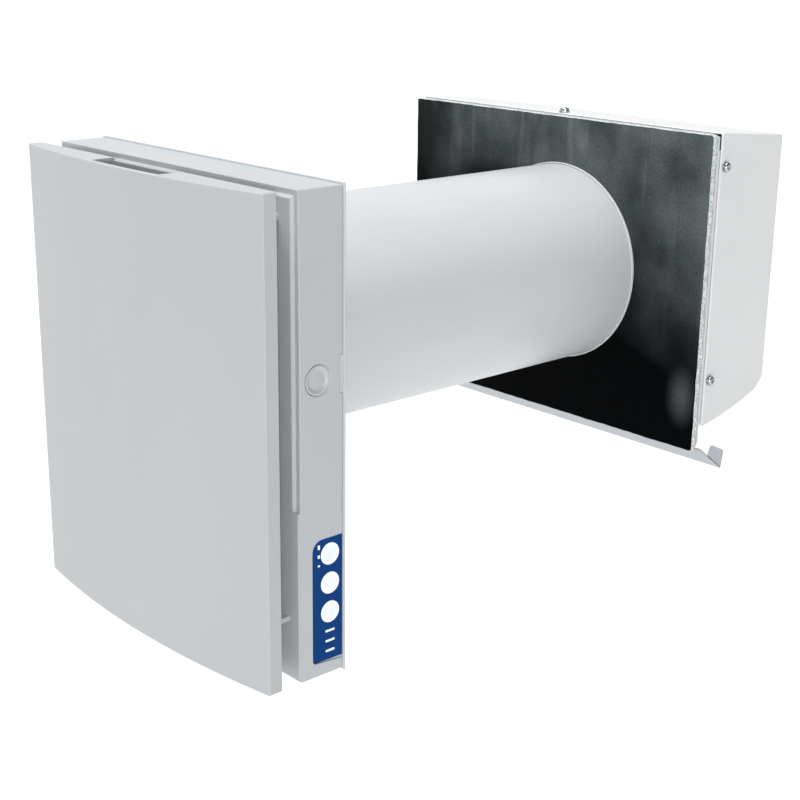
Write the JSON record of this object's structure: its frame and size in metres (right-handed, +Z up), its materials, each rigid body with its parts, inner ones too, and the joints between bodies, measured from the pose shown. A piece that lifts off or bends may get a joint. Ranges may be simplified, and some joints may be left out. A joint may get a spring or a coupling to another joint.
{
  "type": "heat recovery unit",
  "caption": "Through-the-wall ventilator with a bowed indoor unit, a round duct holding a fan and ceramic heat exchanger, and a sheet-metal outdoor hood.",
  "frame": {"origin": "duct axis at the indoor wall face, the back of the mounting plate", "axes": "+X right as seen from the room, +Y along the duct towards the outdoors, +Z up"},
  "size_m": [0.332, 0.5066, 0.3307],
  "materials": {
    "casing_plastic": "satin moulded ABS",
    "inner_plastic": "moulded",
    "blade_plastic": "moulded",
    "sound_foam": "open-cell foam",
    "fascia_blue": "printed film",
    "button_white": "smooth",
    "silicone": "moulded silicone",
    "lamp_clear": "clear polycarbonate",
    "circuit_board": "solder mask",
    "component_black": "moulded",
    "transformer_core": "laminated",
    "capacitor_can": "sleeved",
    "terminal_plastic": "moulded",
    "duct_plastic": "extruded",
    "rubber": "moulded",
    "filter_foam": "reticulated foam",
    "motor_steel": "turned",
    "ceramic": "fired, unglazed",
    "film_black": "crinkled film",
    "foam_light": "closed-cell foam",
    "hood_metal": "powder coat",
    "screw_steel": "zinc plated"
  },
  "bodies": {
    "housing": {"air_grille": "inner_plastic", "board_posts": "terminal_plastic", "button_pad": "silicone", "cable_clamp": "terminal_plastic", "capacitors": "capacitor_can", "cartridge_seals": "rubber", "cartridge_sleeve": "inner_plastic", "control_board": "circuit_board", "control_fascia": "fascia_blue", "control_switches": "component_black", "duct_collar": "hood_metal", "fan_bearings": "motor_steel", "fan_housing": "inner_plastic", "fan_motor": "motor_steel", "flow_straightener": "inner_plastic", "frame_screws": "screw_steel", "hood_back_plate": "hood_metal", "hood_screws": "screw_steel", "hood_shell": "hood_metal", "indoor_casing": "casing_plastic", "indoor_filter": "filter_foam", "indoor_filter_grid": "inner_plastic", "lamp_windows": "lamp_clear", "mounting_plate": "casing_plastic", "outdoor_filter": "filter_foam", "outdoor_filter_grid": "inner_plastic", "panel_brackets": "casing_plastic", "panel_catches": "casing_plastic", "pod_cover": "casing_plastic", "power_board": "circuit_board", "regenerator": "ceramic", "relay": "component_black", "seal_film": "film_black", "seal_foam": "foam_light", "shutter_actuator": "component_black", "shutter_frame": "inner_plastic", "terminal_block": "terminal_plastic", "transformer": "transformer_core", "wall_duct": "duct_plastic"},
    "panel": {"front_panel": "casing_plastic", "panel_studs": "casing_plastic", "panel_foam": "sound_foam"},
    "button_1": {"control_button_1": "button_white"},
    "button_2": {"control_button_2": "button_white"},
    "button_3": {"control_button_3": "button_white"},
    "release": {"release_button": "casing_plastic"},
    "blade_1": {"shutter_blade_1": "blade_plastic"},
    "blade_2": {"shutter_blade_2": "blade_plastic"},
    "blade_3": {"shutter_blade_3": "blade_plastic", "actuator_shaft": "motor_steel"},
    "blade_4": {"shutter_blade_4": "blade_plastic"},
    "blade_5": {"shutter_blade_5": "blade_plastic"},
    "tie_bar": {"shutter_tie_bar": "inner_plastic"},
    "impeller": {"fan_impeller": "component_black"}
  },
  "joints": [
    {"name": "panel_pull", "type": "slide", "parent": "housing", "child": "panel", "axis": [0, -1, 0], "range_m": [0, 0.12]},
    {"name": "button_1_press", "type": "slide", "parent": "housing", "child": "button_1", "axis": [-1, 0, 0], "range_m": [0, 0.0006], "stiffness_N_per_m": 2000, "springref_m": -0.0005},
    {"name": "button_2_press", "type": "slide", "parent": "housing", "child": "button_2", "axis": [-1, 0, 0], "range_m": [0, 0.0006], "stiffness_N_per_m": 2000, "springref_m": -0.0005},
    {"name": "button_3_press", "type": "slide", "parent": "housing", "child": "button_3", "axis": [-1, 0, 0], "range_m": [0, 0.0006], "stiffness_N_per_m": 2000, "springref_m": -0.0005},
    {"name": "release_press", "type": "slide", "parent": "housing", "child": "release", "axis": [-1, 0, 0], "range_m": [0, 0.002], "stiffness_N_per_m": 1000, "springref_m": -0.001},
    {"name": "blade_3_turn", "type": "hinge", "parent": "housing", "child": "blade_3", "pos_m": [0, -0.02, 0], "axis": [1, 0, 0], "range_deg": [0, 90]},
    {"name": "blade_1_turn", "type": "hinge", "parent": "housing", "child": "blade_1", "pos_m": [0, -0.02, -0.0592], "axis": [1, 0, 0], "range_deg": [0, 90]},
    {"name": "blade_2_turn", "type": "hinge", "parent": "housing", "child": "blade_2", "pos_m": [0, -0.02, -0.0296], "axis": [1, 0, 0], "range_deg": [0, 90]},
    {"name": "blade_4_turn", "type": "hinge", "parent": "housing", "child": "blade_4", "pos_m": [0, -0.02, 0.0296], "axis": [1, 0, 0], "range_deg": [0, 90]},
    {"name": "blade_5_turn", "type": "hinge", "parent": "housing", "child": "blade_5", "pos_m": [0, -0.02, 0.0592], "axis": [1, 0, 0], "range_deg": [0, 90]},
    {"name": "tie_bar_pivot", "type": "hinge", "parent": "blade_3", "child": "tie_bar", "pos_m": [0.08, -0.02636, 0.00636], "axis": [1, 0, 0], "range_deg": [-90, 0]},
    {"name": "fan_spin", "type": "hinge", "parent": "housing", "child": "impeller", "pos_m": [0, 0.047, 0], "axis": [0, 1, 0], "continuous": true}
  ],
  "couplings": [
    {"joint": "blade_1_turn", "follows": "blade_3_turn", "ratio": 1},
    {"joint": "blade_2_turn", "follows": "blade_3_turn", "ratio": 1},
    {"joint": "blade_4_turn", "follows": "blade_3_turn", "ratio": 1},
    {"joint": "blade_5_turn", "follows": "blade_3_turn", "ratio": 1},
    {"joint": "tie_bar_pivot", "follows": "blade_3_turn", "ratio": -1}
  ]
}
